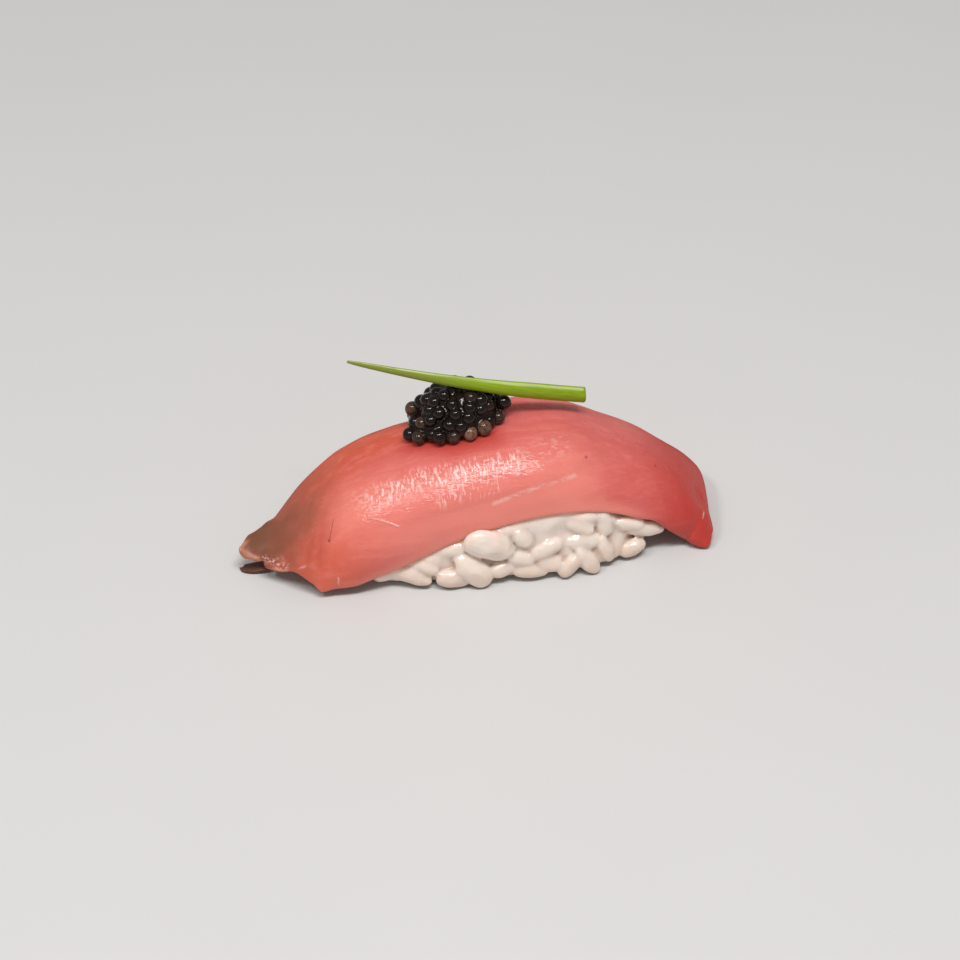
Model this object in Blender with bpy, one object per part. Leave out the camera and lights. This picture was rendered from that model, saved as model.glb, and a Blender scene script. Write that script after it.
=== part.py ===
"""A single nigiri: a slice of tuna draped over a pressed rice ball, with a mound of black roe and a chive.

Metres, +Z up. The origin is the middle of the rice's flat base. +X runs along the slice towards its steep
end, and -Y is the side where the rice shows below the slice.
"""

import math
import random

import bmesh
import bpy
import numpy as np
from mathutils import Euler, Matrix, Vector
from mathutils.bvhtree import BVHTree

MM = 0.001
GAP = 0.3 * MM  # between pieces that rest on each other

# The draped form: its crest line, half width and sideways shift from the low tip to the steep end, and the
# angles from the crest at which the slice's front and back edges lie on it.
FORM = {
    "share": (0.00, 0.10, 0.20, 0.32, 0.45, 0.60, 0.72, 0.83, 0.92, 1.00),
    "x_mm": (-41.8, -35.9, -28.7, -20.0, -8.0, 8.0, 19.8, 27.7, 30.7, 33.1),
    "crest_mm": (1.6, 2.8, 7.2, 12.3, 16.2, 17.4, 12.6, 7.5, 4.0, 0.5),
    "half_width_mm": (7.1, 9.0, 11.8, 12.5, 12.4, 12.4, 12.2, 10.7, 9.1, 9.3),
    "shift_mm": (-3.6, -1.5, -0.6, 0.2, 0.2, 0.2, 0.2, 0.3, 0.6, -0.2),
    "front_deg": (-82.0, -82.0, -84.6, -76.0, -62.3, -53.3, -48.5, -58.3, -73.6, -78.8),
    "back_deg": (-9.0, 19.0, 48.6, 64.0, 62.3, 64.0, 66.0, 54.0, 64.0, 79.0),
}
SECTION_POWER = 2.5  # 2 is a half ellipse, more is squarer

SLICE_THICKNESS = 4.2 * MM
SLICE_EDGE = 1.1 * MM
SLICE_FRONT_START = 0.20  # share of the form where the skewed low end meets the front edge
SLICE_STEPS = (44, 18)  # quads along and across
SLICE_TAPER = (0.22, 0.05)  # shares of the length over which it thins towards its low and steep ends
STEEP_THICKNESS = 0.62  # share of its thickness that it keeps at the steep end
TIP_REACH = 0.12  # share of the length over which the low end is curled and notched
TIP_LOBE = 0.72  # share across the low end where its notch parts the raised tip from the rest
TIP_NOTCH = 0.028
TIP_NOTCH_WIDTH = 0.06
TIP_CURL = 0.9 * MM
CURL_WAVE = 0.62  # share across the low end that one wave of its curl takes
CURL_START = 0.35
TIP_LIFT = 1.7 * MM
TIP_LIFT_REACH = 0.2

RICE_ENDS = (-25.5 * MM, 26.0 * MM)
RICE_END_POWER = 3.2
RICE_END_HEIGHT = 0.35  # share of the form's height that its ends keep
RICE_STEPS = (28, 18)
RICE_FOOT = 1.12  # the base's width as a share of the widest part
RICE_FOOT_HEIGHT = 6.0 * MM
GRAIN_LENGTH = 7.2 * MM
GRAIN_WIDTH = 3.7 * MM
GRAIN_SIDES = (6, 4)
GRAIN_PITCH = 4.9 * MM
GRAIN_ROW = 2.7 * MM
GRAIN_ROWS = 5
GRAIN_STAND = 0.25 * MM  # how far the middle of a grain stands out of the core
GRAIN_LEAN = 55  # degrees from level, either way
RING_DEPTH = 0.55  # depth of the oval from which the rows of grains are aimed, as a share of its length
OUTSIDE = 40 * MM  # beyond the whole piece

ROE_AT = (-5.5 * MM, 4.0 * MM)
ROE_RADII = (7.3 * MM, 6.2 * MM)
ROE_HEIGHT = 6.9 * MM
EGG_RADIUS = 1.28 * MM
EGG_SIDES = (5, 4)
EGG_PITCH = 2.42 * MM
ROE_DOME = (2.4, 0.8)  # powers that give the mound's profile
ROE_CORE_STEPS = (6, 20)  # rings and sides
ROE_CORE_SHARE = 0.84  # its core's radius as a share of the mound's
ROE_CORE_SINK = 0.5 * MM  # from the middles of the outer eggs to the core's top

CHIVE_TIP = Vector((-22.5, 4.35, 34.0)) * MM
CHIVE_END = Vector((15.7, 3.7, 23.6)) * MM
CHIVE_WIDTH = 3.1 * MM
CHIVE_DEPTH = 2.2 * MM
CHIVE_BOW = Vector((0.0, -2.2, 0.7)) * MM  # how far its middle lies off a straight line
CHIVE_FULL = 0.75  # share of its length at which it reaches its full width
CHIVE_TIP_SIZE = 0.22  # its width close to the tip as a share of its full width
CHIVE_POINT_SIZE = 0.16
CHIVE_STEPS = (24, 8)


def smooth(name, share):
    """A smooth curve through the form's stations for one of its measures."""
    shares = np.array(FORM["share"])
    values = np.array(FORM[name])
    slopes = np.gradient(values, shares)
    share = np.clip(share, 0.0, 1.0)
    i = np.clip(np.searchsorted(shares, share) - 1, 0, len(shares) - 2)
    step = shares[i + 1] - shares[i]
    t = (share - shares[i]) / step
    start = values[i] * (1 + 2 * t) * (1 - t) ** 2 + slopes[i] * step * t * (1 - t) ** 2
    end = values[i + 1] * t * t * (3 - 2 * t) + slopes[i + 1] * step * t * t * (t - 1)
    return start + end


def form_point(share, angle):
    """A point on the draped form, at a share of its length and an angle from the crest towards the back."""
    across, rise = np.sin(angle), np.cos(angle)
    reach = (np.abs(across) ** SECTION_POWER + np.abs(rise) ** SECTION_POWER) ** (1 / SECTION_POWER)
    x = smooth("x_mm", share) + 0 * across
    y = smooth("shift_mm", share) + smooth("half_width_mm", share) * across / reach
    z = smooth("crest_mm", share) * rise / reach
    return np.stack([x, y, z], -1) * MM


def form_normal(share, angle):
    """The outward normal of the draped form."""
    step = 1e-3
    share = np.clip(share, step, 1 - step)
    along = form_point(share + step, angle) - form_point(share - step, angle)
    across = form_point(share, angle + step) - form_point(share, angle - step)
    normal = np.cross(along, across)
    return normal / np.linalg.norm(normal, axis=-1, keepdims=True)


def bump(value, middle, width):
    return np.exp(-(((value - middle) / width) ** 2))


def slice_surfaces():
    """The slice's underside and top, as grids of points: along from the low end, across from the front."""
    rows, columns = SLICE_STEPS
    along, across = np.meshgrid(np.linspace(0, 1, rows + 1), np.linspace(0, 1, columns + 1), indexing="ij")
    front_share = SLICE_FRONT_START + (1 - SLICE_FRONT_START) * along
    near_end = (1 - np.clip(along / TIP_REACH, 0, 1)) ** 2
    share = front_share + (along - front_share) * across
    share = share + TIP_NOTCH * bump(across, TIP_LOBE, TIP_NOTCH_WIDTH) * near_end
    front = smooth("front_deg", front_share)
    back = smooth("back_deg", along)
    angle = np.radians(front + (back - front) * across)
    under = form_point(share, angle)
    normal = form_normal(share, angle)
    body = 1 - np.abs(2 * across - 1) ** 3
    ends = np.clip(np.minimum(along / SLICE_TAPER[0], (1 - along) / SLICE_TAPER[1]), 0, 1)
    ends = ends * ends * (3 - 2 * ends)
    kept = np.where(along > 0.5, STEEP_THICKNESS, 0.0)
    thickness = SLICE_EDGE + (SLICE_THICKNESS - SLICE_EDGE) * body * (kept + (1 - kept) * ends)
    wave = np.sin(2 * math.pi * (across / CURL_WAVE - CURL_START))
    curl = TIP_CURL * near_end * wave * np.clip(4 * across, 0, 1)
    raised = np.clip(2 * across - 1, 0, 1) * (1 - np.clip(along / TIP_LIFT_REACH, 0, 1)) ** 1.5
    under[..., 2] += curl + TIP_LIFT * raised
    top = under + normal * thickness[..., None]
    under[..., 2] = np.maximum(under[..., 2], GAP)
    top[..., 2] = np.maximum(top[..., 2], under[..., 2] + 0.6 * SLICE_EDGE)
    return under, top


def new_object(name, bm, look):
    """Turns a bmesh into a named object with its material."""
    mesh = bpy.data.meshes.new(name)
    bm.to_mesh(mesh)
    bm.free()
    mesh.materials.append(look)
    obj = bpy.data.objects.new(name, mesh)
    bpy.context.scene.collection.objects.link(obj)
    return obj


def material(name, colour, roughness):
    look = bpy.data.materials.new(name)
    look.use_nodes = True
    shader = look.node_tree.nodes["Principled BSDF"]
    shader.inputs["Base Color"].default_value = (*colour, 1.0)
    shader.inputs["Roughness"].default_value = roughness
    shader.inputs["Metallic"].default_value = 0.0
    return look


def slab(lower, upper):
    """A closed sheet between two grids of points, the upper one outermost."""
    bm = bmesh.new()
    rows, columns = lower.shape[0] - 1, lower.shape[1] - 1
    low = [[bm.verts.new(p) for p in row] for row in lower]
    high = [[bm.verts.new(p) for p in row] for row in upper]
    for i in range(rows):
        for j in range(columns):
            bm.faces.new((high[i][j], high[i + 1][j], high[i + 1][j + 1], high[i][j + 1]))
            bm.faces.new((low[i][j + 1], low[i + 1][j + 1], low[i + 1][j], low[i][j]))
    for i in range(rows):
        bm.faces.new((low[i][0], low[i + 1][0], high[i + 1][0], high[i][0]))
        bm.faces.new((high[i][-1], high[i + 1][-1], low[i + 1][-1], low[i][-1]))
    for j in range(columns):
        bm.faces.new((high[0][j], high[0][j + 1], low[0][j + 1], low[0][j]))
        bm.faces.new((low[-1][j], low[-1][j + 1], high[-1][j + 1], high[-1][j]))
    bmesh.ops.recalc_face_normals(bm, faces=bm.faces)
    return bm


def build_slice(look):
    lower, upper = slice_surfaces()
    obj = new_object("tuna_slice", slab(lower, upper), look)
    obj.data.shade_smooth()
    return obj


def rice_share(x):
    """The share of the form's length at which its crest has this x."""
    shares = np.linspace(0, 1, 401)
    return np.interp(x, smooth("x_mm", shares) * MM, shares)


def core_ring(x, angles):
    """One cross-section of the rice's core: the form's own, drawn in towards the ends, wider at the foot."""
    low, high = RICE_ENDS
    middle, half = (low + high) / 2, (high - low) / 2
    reach = min(1.0, abs(x - middle) / half)
    end = (1 - reach**RICE_END_POWER) ** (1 / RICE_END_POWER)
    share = rice_share(x)
    ring = form_point(np.full_like(angles, share), angles)
    crest = ring[:, 2].max()
    half_width = np.abs(ring[:, 1]).max()
    ring[:, 1] *= (half_width - GAP) / half_width * end
    ring[:, 2] *= (crest - GAP) / crest * (RICE_END_HEIGHT + (1 - RICE_END_HEIGHT) * end)
    foot = np.clip(1 - ring[:, 2] / RICE_FOOT_HEIGHT, 0, 1) ** 2
    ring[:, 1] *= 1 - (1 - RICE_FOOT) * foot
    ring[:, 0] = x
    return ring


def core_stations():
    """Positions along the core, closer together towards its round ends."""
    low, high = RICE_ENDS
    turn = np.linspace(-0.5 * math.pi, 0.5 * math.pi, RICE_STEPS[0] + 1)[1:-1]
    return (low + high) / 2 + (high - low) / 2 * np.sin(turn)


def build_core():
    """The pressed ball without its grains, flat below."""
    bm = bmesh.new()
    angles = np.linspace(-0.5 * math.pi, 0.5 * math.pi, RICE_STEPS[1] + 1)
    rings = []
    for x in core_stations():
        ring = core_ring(x, angles)
        ring[0, 2] = ring[-1, 2] = 0.0
        rings.append([bm.verts.new(p) for p in ring])
    for first, second in zip(rings, rings[1:]):
        for j in range(len(first)):
            k = (j + 1) % len(first)
            bm.faces.new((first[j], second[j], second[k], first[k]))
    bm.faces.new(rings[0])
    bm.faces.new(reversed(rings[-1]))
    bmesh.ops.recalc_face_normals(bm, faces=bm.faces)
    return bm


def ellipsoid(length, width, depth, sides):
    """A small round piece with few sides, its length along X."""
    bm = bmesh.new()
    bmesh.ops.create_uvsphere(bm, u_segments=sides[0], v_segments=sides[1], radius=0.5)
    bmesh.ops.rotate(bm, verts=bm.verts, matrix=Matrix.Rotation(math.pi / 2, 3, "Y"))
    bmesh.ops.scale(bm, vec=(length, width, depth), verts=bm.verts)
    return bm


def tree_of(obj):
    bm = bmesh.new()
    bm.from_mesh(obj.data)
    tree = BVHTree.FromBMesh(bm)
    bm.free()
    return tree


def is_clear(bm, trees, low):
    """Whether a placed piece stays above the base and keeps the gap to the other nodes."""
    if min(v.co.z for v in bm.verts) < low:
        return False
    own = BVHTree.FromBMesh(bm)
    for tree in trees:
        if own.overlap(tree):
            return False
        if min(tree.find_nearest(v.co)[3] for v in bm.verts) < GAP:
            return False
    return True


def face_directions(normal):
    """Two directions in a surface: level along it, and up its slope."""
    level = Vector((0, 0, 1)).cross(normal)
    level = level.normalized() if level.length > 1e-6 else Vector((1, 0, 0))
    return level, normal.cross(level).normalized()


def grain_places(core_tree):
    """Where grains show on the ball's sides: rows up its wall, each going round it."""
    draw = random.Random(7)
    places = []
    for row in range(GRAIN_ROWS):
        height = 0.5 * GRAIN_WIDTH + row * GRAIN_ROW
        ring = []
        for k in range(360):
            turn = math.radians(k)
            ray = Vector((math.cos(turn), RING_DEPTH * math.sin(turn), 0))
            start = Vector((0, 0, height)) + ray * OUTSIDE
            hit, normal, _, _ = core_tree.ray_cast(start, -ray)
            if hit is not None:
                ring.append((hit, normal))
        walked = draw.random() * GRAIN_PITCH
        for (hit, normal), (nearby, _) in zip(ring, ring[1:]):
            walked += (nearby - hit).length
            if walked >= GRAIN_PITCH:
                walked -= GRAIN_PITCH * draw.uniform(0.85, 1.15)
                places.append((hit, normal, draw.uniform(-GRAIN_LEAN, GRAIN_LEAN), draw.uniform(0.86, 1.1)))
    return places


def place_grain(place, trees):
    """A grain lying on the ball's wall, lowered or shortened until it is clear, or None."""
    hit, normal, lean, size = place
    level, slope = face_directions(normal)
    for shorter, lower in ((1, 0), (0.9, 0.4), (0.9, 0.9), (0.75, 0.6), (0.75, 1.3), (0.6, 1.0), (0.6, 1.6)):
        turn = math.radians(lean * shorter)
        along = level * math.cos(turn) + slope * math.sin(turn)
        frame = Matrix((along, normal.cross(along), normal)).transposed().to_4x4()
        centre = hit + normal * GRAIN_STAND - slope * lower * MM
        width = GRAIN_WIDTH * size * max(shorter, 0.75)
        bm = ellipsoid(GRAIN_LENGTH * size * shorter, width, 0.92 * width, GRAIN_SIDES)
        bmesh.ops.transform(bm, matrix=Matrix.Translation(centre) @ frame, verts=bm.verts)
        lift = max(0.0, 0.02 * MM - min(v.co.z for v in bm.verts))
        bmesh.ops.translate(bm, vec=(0, 0, lift), verts=bm.verts)
        if lift < 0.5 * GRAIN_WIDTH and is_clear(bm, trees, 0.0):
            return bm
        bm.free()
    return None


def fuse(obj, pieces, look):
    """Joins the pieces onto the object with one union, then keeps its largest shell."""
    group = bpy.data.collections.new(obj.name + "_pieces")
    bpy.context.scene.collection.children.link(group)
    for number, bm in enumerate(pieces):
        piece = new_object(f"{obj.name}_piece_{number}", bm, look)
        bpy.context.scene.collection.objects.unlink(piece)
        group.objects.link(piece)
    union = obj.modifiers.new("union", "BOOLEAN")
    union.operation = "UNION"
    union.operand_type = "COLLECTION"
    union.collection = group
    union.solver = "EXACT"
    bpy.context.view_layer.update()
    bpy.context.view_layer.objects.active = obj
    with bpy.context.temp_override(object=obj, active_object=obj, selected_objects=[obj]):
        bpy.ops.object.modifier_apply(modifier=union.name)
    for piece in list(group.objects):
        bpy.data.objects.remove(piece)
    bpy.data.collections.remove(group)
    keep_largest_shell(obj.data)


def keep_largest_shell(mesh):
    """Drops sealed hollows and loose scraps that a union leaves."""
    bm = bmesh.new()
    bm.from_mesh(mesh)
    bmesh.ops.remove_doubles(bm, verts=bm.verts, dist=0.002 * MM)
    bmesh.ops.triangulate(bm, faces=bm.faces)
    unseen = set(bm.verts)
    shells = []
    while unseen:
        front = [unseen.pop()]
        shell = set(front)
        while front:
            for edge in front.pop().link_edges:
                for vert in edge.verts:
                    if vert in unseen:
                        unseen.discard(vert)
                        shell.add(vert)
                        front.append(vert)
        shells.append(shell)
    largest = max(shells, key=len)
    spare = [v for shell in shells if shell is not largest for v in shell]
    bmesh.ops.delete(bm, geom=spare, context="VERTS")
    bm.to_mesh(mesh)
    bm.free()


def build_rice(look, slice_tree):
    obj = new_object("rice", build_core(), look)
    core_tree = tree_of(obj)
    placed = [place_grain(place, [slice_tree]) for place in grain_places(core_tree)]
    fuse(obj, [bm for bm in placed if bm is not None], look)
    return obj


def dome_rise(reach):
    """The height of the mound's outer egg centres over the slice, at a share of its radius."""
    edge, top = ROE_DOME
    return max(0.0, 1 - min(reach, 1.0) ** edge) ** top * ROE_HEIGHT


def slice_height(x, y, slice_tree):
    return slice_tree.ray_cast(Vector((x, y, OUTSIDE)), Vector((0, 0, -1)))[0].z


def build_roe_core(slice_tree):
    """A dome whose underside follows the slice."""
    rings, sides = ROE_CORE_STEPS
    bm = bmesh.new()
    lower, upper = [], []
    for i in range(rings + 1):
        for side, share in ((lower, 0.0), (upper, 1.0)):
            ring = []
            for k in range(sides if i else 1):
                turn = 2 * math.pi * k / sides
                x = ROE_AT[0] + ROE_CORE_SHARE * ROE_RADII[0] * i / rings * math.cos(turn)
                y = ROE_AT[1] + ROE_CORE_SHARE * ROE_RADII[1] * i / rings * math.sin(turn)
                floor = slice_height(x, y, slice_tree) + 1.6 * GAP
                rise = max(dome_rise(ROE_CORE_SHARE * i / rings) - ROE_CORE_SINK, ROE_CORE_SINK)
                ring.append(bm.verts.new((x, y, floor + share * rise)))
            side.append(ring)
    for side in (lower, upper):
        for inner, outer in zip(side, side[1:]):
            for k in range(sides):
                n = (k + 1) % sides
                start = (inner[n], inner[k]) if len(inner) > 1 else (inner[0],)
                bm.faces.new((*start, outer[k], outer[n]))
    for k in range(sides):
        n = (k + 1) % sides
        bm.faces.new((lower[-1][k], lower[-1][n], upper[-1][n], upper[-1][k]))
    bmesh.ops.recalc_face_normals(bm, faces=bm.faces)
    return bm


def egg_places(slice_tree):
    """Egg centres over the mound, on rings evenly spaced down its profile."""
    draw = random.Random(3)
    reaches = np.linspace(0, 1, 101)
    rises = np.array([dome_rise(reach) for reach in reaches])
    radius = (ROE_RADII[0] + ROE_RADII[1]) / 2
    walked = np.concatenate([[0], np.cumsum(np.hypot(np.diff(reaches) * radius, np.diff(rises)))])
    rings = round(walked[-1] / (0.9 * EGG_PITCH))
    places = []
    for ring in range(rings + 1):
        reach = np.interp(walked[-1] * ring / rings, walked, reaches)
        count = max(1, round(2 * math.pi * reach * radius / EGG_PITCH))
        turned = draw.random() * 2 * math.pi
        for k in range(count):
            turn = turned + 2 * math.pi * (k + draw.uniform(-0.15, 0.15)) / count
            x = ROE_AT[0] + reach * ROE_RADII[0] * math.cos(turn)
            y = ROE_AT[1] + reach * ROE_RADII[1] * math.sin(turn)
            floor = slice_height(x, y, slice_tree)
            rise = max(dome_rise(reach), EGG_RADIUS)
            places.append(Vector((x, y, floor + rise + draw.uniform(-0.2, 0.25) * MM)))
    return places


def place_egg(place, slice_tree, chive_tree):
    """An egg over the slice, lowered until it is clear of the chive, or None."""
    nearest, _, _, distance = slice_tree.find_nearest(place)
    wanted = EGG_RADIUS + GAP
    if distance < wanted:
        place = nearest + (place - nearest).normalized() * wanted
    for lower in (0, 0.3, 0.6, 0.9, 1.2):
        centre = place - Vector((0, 0, lower * MM))
        egg = ellipsoid(2 * EGG_RADIUS, 2 * EGG_RADIUS, 2 * EGG_RADIUS, EGG_SIDES)
        turn = Euler((place.x * 9e3, place.y * 7e3, place.z * 5e3)).to_matrix().to_4x4()
        bmesh.ops.transform(egg, matrix=Matrix.Translation(centre) @ turn, verts=egg.verts)
        if is_clear(egg, [slice_tree, chive_tree], 0.0):
            return egg
        egg.free()
    return None


def build_roe(look, slice_tree, chive_tree):
    obj = new_object("roe", build_roe_core(slice_tree), look)
    placed = [place_egg(place, slice_tree, chive_tree) for place in egg_places(slice_tree)]
    fuse(obj, [egg for egg in placed if egg is not None], look)
    return obj


def build_chive(look):
    """A flattened hollow-stem blade, pointed at one end and cut square at the other."""
    steps, sides = CHIVE_STEPS
    bm = bmesh.new()
    line = CHIVE_END - CHIVE_TIP
    sideways = Vector((0, 0, 1)).cross(line).normalized()
    upward = line.cross(sideways).normalized()
    if upward.z < 0:
        upward = -upward
    rings = []
    for i in range(steps + 1):
        along = i / steps
        size = min(1.0, CHIVE_TIP_SIZE + (1 - CHIVE_TIP_SIZE) * (along / CHIVE_FULL) ** 0.85)
        size = size if i else CHIVE_POINT_SIZE
        centre = CHIVE_TIP + line * along + CHIVE_BOW * math.sin(math.pi * along)
        ring = []
        for k in range(sides):
            turn = 2 * math.pi * k / sides
            offset = sideways * CHIVE_DEPTH * math.cos(turn) + upward * CHIVE_WIDTH * math.sin(turn)
            ring.append(bm.verts.new(centre + offset * 0.5 * size))
        rings.append(ring)
    for first, second in zip(rings, rings[1:]):
        for k in range(sides):
            n = (k + 1) % sides
            bm.faces.new((first[k], second[k], second[n], first[n]))
    bm.faces.new(rings[0])
    bm.faces.new(reversed(rings[-1]))
    bmesh.ops.recalc_face_normals(bm, faces=bm.faces)
    obj = new_object("chive", bm, look)
    obj.data.shade_smooth()
    obj.data.set_sharp_from_angle(angle=math.radians(50))
    return obj


def main():
    for obj in list(bpy.data.objects):
        bpy.data.objects.remove(obj)
    tuna = material("tuna", (0.60, 0.12, 0.09), 0.30)
    rice = material("rice", (0.82, 0.76, 0.68), 0.35)
    roe = material("roe", (0.010, 0.008, 0.007), 0.12)
    chive = material("chive", (0.22, 0.45, 0.02), 0.40)
    slice_tree = tree_of(build_slice(tuna))
    build_rice(rice, slice_tree)
    chive_tree = tree_of(build_chive(chive))
    build_roe(roe, slice_tree, chive_tree)


main()
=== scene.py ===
"""Looks of the nigiri: a moist tuna slice, sticky rice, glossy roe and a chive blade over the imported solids.

The file is laid out as an add-on, with one operator for each group of pieces, and is run as a script.
"""

import math
import random

import bmesh
import bpy
import numpy as np
from bpy.props import FloatProperty, FloatVectorProperty, IntProperty, PointerProperty
from mathutils import Euler, Matrix, Vector, noise
from mathutils.bvhtree import BVHTree
from mathutils.kdtree import KDTree


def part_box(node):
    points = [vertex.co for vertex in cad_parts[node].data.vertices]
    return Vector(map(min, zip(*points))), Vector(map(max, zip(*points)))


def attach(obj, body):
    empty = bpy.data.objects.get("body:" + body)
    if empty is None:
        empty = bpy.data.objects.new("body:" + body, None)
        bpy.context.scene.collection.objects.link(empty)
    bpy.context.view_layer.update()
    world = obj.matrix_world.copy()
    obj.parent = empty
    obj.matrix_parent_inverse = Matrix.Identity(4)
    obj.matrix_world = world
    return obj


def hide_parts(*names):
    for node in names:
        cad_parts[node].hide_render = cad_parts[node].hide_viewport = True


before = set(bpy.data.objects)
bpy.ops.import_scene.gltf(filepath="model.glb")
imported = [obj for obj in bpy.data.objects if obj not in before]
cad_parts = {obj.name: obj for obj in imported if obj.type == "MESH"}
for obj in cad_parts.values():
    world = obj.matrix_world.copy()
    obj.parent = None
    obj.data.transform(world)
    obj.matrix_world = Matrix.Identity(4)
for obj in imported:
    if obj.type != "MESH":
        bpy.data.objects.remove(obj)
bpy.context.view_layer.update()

bl_info = {
    "name": "Nigiri",
    "version": (1, 0, 0),
    "blender": (4, 5, 0),
    "location": "3D View > Sidebar > Nigiri",
    "description": "Dresses the packed nigiri: tuna, rice, roe and chive",
    "category": "Object",
}

MM = 0.001


# Sizes and colours


def length(name, description, default_mm, low_mm=0.0, high_mm=50.0):
    return FloatProperty(
        name=name,
        description=description,
        default=default_mm * MM,
        min=low_mm * MM,
        max=high_mm * MM,
        precision=5,
        unit="LENGTH",
    )


def share(name, description, default):
    return FloatProperty(
        name=name, description=description, default=default, min=0.0, max=1.0, subtype="FACTOR"
    )


def colour(name, description, default):
    return FloatVectorProperty(
        name=name, description=description, default=default, min=0.0, max=1.0, size=3, subtype="COLOR"
    )


class SliceSettings(bpy.types.PropertyGroup):
    flesh: colour("Flesh", "The middle of the slice", (0.615, 0.128, 0.115))
    coral: colour("Coral", "Its warmer low end", (0.63, 0.125, 0.080))
    # The crest colour is painted shade: the far side of the low half is darker and more saturated, to take out
    # the sheen that the pale floor reflects there.
    crest_shade: colour("Crest", "The far side of its low half", (0.60, 0.082, 0.036))
    # Part of the pale colour is painted light: a broad sheen along the front and a lighter thin rim. The rest
    # is paler flesh on the cut face and in the streaks.
    pale: colour("Pale edge", "Thin flesh along the front edge", (0.86, 0.285, 0.225))
    # The deep colour darkens the flesh towards the steep end and in mottled patches, and is also painted shade
    # under the roe and along the folds.
    deep_and_shade: colour("Deep end", "The dark steep end", (0.47, 0.038, 0.028))
    tip: colour("Tip", "The thin brownish tip", (0.185, 0.070, 0.038))
    rind: colour("Rim", "Bright rim of the low end", (0.72, 0.34, 0.22))
    glint: colour("Glints", "Pale strokes that stand for sparkle on the fibres", (0.95, 0.72, 0.68))
    # Painted highlights: pale strokes on the nicks, the curled lip, the ridge and the fibres, for their
    # sparkle.
    painted_highlight: colour("Nicks", "Pale nicks, the curled lip and faint sparkle", (0.85, 0.58, 0.53))
    # The speck colour is small dark specks in the flesh, and also painted shade in the slit.
    speck_and_slit_shade: colour("Specks", "Small dark specks", (0.33, 0.025, 0.020))
    # Painted shade on the fold of flesh under the tip.
    shade: colour("Fold", "The dark fold under the tip", (0.055, 0.032, 0.026))
    ridge: length("Ridge", "How far the ridge over the front edge stands out", 0.22)
    waviness: length("Waviness", "How far the surface is uneven", 0.25)
    fibre: length("Fibres", "Relief of the fine fibres", 0.10)
    gloss: share("Gloss", "Roughness where the flesh is wettest", 0.12)


class RiceSettings(bpy.types.PropertyGroup):
    milky: colour("Milky", "The whitest part of a grain", (0.82, 0.725, 0.655))
    clear: colour("Clear", "The see-through part of a grain", (0.73, 0.61, 0.52))
    # Painted shade: darker between the grains and towards the floor.
    crease_shade: colour("Crease", "Between grains", (0.62, 0.43, 0.33))
    # Painted light where the rice meets the fish, lifting the shade along the contact.
    contact_light: colour("Blush", "Where the rice meets the fish", (0.93, 0.74, 0.64))
    grain_length: length("Grain length", "An average cooked grain", 7.0)
    grain_width: length("Grain width", "An average cooked grain", 3.3)
    row_height: length("Row height", "From one row of grains to the next", 2.5)
    pitch: length("Pitch", "Along a row", 4.7)
    grain_sink: length("Grain sink", "From the heap's outline in to the middles of its grains", 0.9)
    core_sink: length("Core sink", "From the heap's outline in to the core between the grains", 0.95)
    lumps: length("Lumps", "How far the grains are uneven", 0.20)
    voxel: length("Detail", "Size of the smallest shape where grains stick together", 0.25)
    seed: IntProperty(name="Seed", description="Order of the grains", default=11)


class RoeSettings(bpy.types.PropertyGroup):
    dark: colour("Dark egg", "Most eggs", (0.006, 0.003, 0.002))
    brown: colour("Brown egg", "The palest eggs", (0.19, 0.095, 0.058))
    egg_radius: length("Egg radius", "An average egg", 1.27)
    spacing: length("Spacing", "Between the middles of two eggs", 2.1)
    egg_sink: length("Egg sink", "From the mound's outline in to the middles of its eggs", 0.45)
    brine_sink: length("Brine sink", "From the mound's outline in to the brine between the eggs", 0.30)
    voxel: length("Detail", "Size of the smallest shape in the brine", 0.24)
    menisci: IntProperty(
        name="Menisci", description="How often the brine's hollows are evened out", default=4
    )
    film: length("Film", "How far the brine keeps in from the faces of the eggs", 0.10)
    seed: IntProperty(name="Seed", description="Order of the eggs", default=5)


class ChiveSettings(bpy.types.PropertyGroup):
    green: colour("Green", "The blade", (0.205, 0.305, 0.006))
    light: colour("Light green", "Its lighter veins", (0.315, 0.425, 0.018))
    tip: colour("Tip", "Its pale tip", (0.20, 0.23, 0.035))
    # Painted highlight along the blade's upper edge, where it faces the light.
    edge: colour("Edge", "The pale line along its upper edge", (0.52, 0.60, 0.26))
    vein: length("Veins", "Relief of the veins", 0.03)
    hollow: length("Hollow", "Depth of the hollow in its cut end", 1.4)


class StageSettings(bpy.types.PropertyGroup):
    floor: colour("Floor", "The plain floor", (0.62, 0.61, 0.60))
    lens: FloatProperty(name="Lens", description="Focal length in millimetres", default=110.6)
    distance: length("Distance", "From the camera to what it aims at", 495.0, 100.0, 2000.0)
    elevation: FloatProperty(
        name="Elevation", description="Camera above the floor", default=math.radians(40.2), subtype="ANGLE"
    )
    azimuth: FloatProperty(
        name="Azimuth", description="Camera round the object", default=math.radians(-8.0), subtype="ANGLE"
    )
    key_power: FloatProperty(name="Key", description="Power of the overhead light in watts", default=4.9)
    side_power: FloatProperty(
        name="Side", description="Power of the light over the low end in watts", default=1.5
    )
    fill: FloatProperty(name="Fill", description="Strength of the light from all round", default=0.34)


SETTINGS = {
    "nigiri_slice": SliceSettings,
    "nigiri_rice": RiceSettings,
    "nigiri_roe": RoeSettings,
    "nigiri_chive": ChiveSettings,
    "nigiri_stage": StageSettings,
}


# Materials


class Value:
    """A socket of a material, so that its maths is written as an expression."""

    def __init__(self, finish, socket):
        self.finish = finish
        self.socket = socket

    def math(self, operation, first, second):
        return self.finish.node("ShaderNodeMath", {"operation": operation}, {0: first, 1: second})

    def __add__(self, other):
        return self.math("ADD", self, other)

    __radd__ = __add__

    def __sub__(self, other):
        return self.math("SUBTRACT", self, other)

    def __rsub__(self, other):
        return self.math("SUBTRACT", other, self)

    def __mul__(self, other):
        return self.math("MULTIPLY", self, other)

    __rmul__ = __mul__

    def __pow__(self, other):
        return self.math("POWER", self, other)


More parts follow.
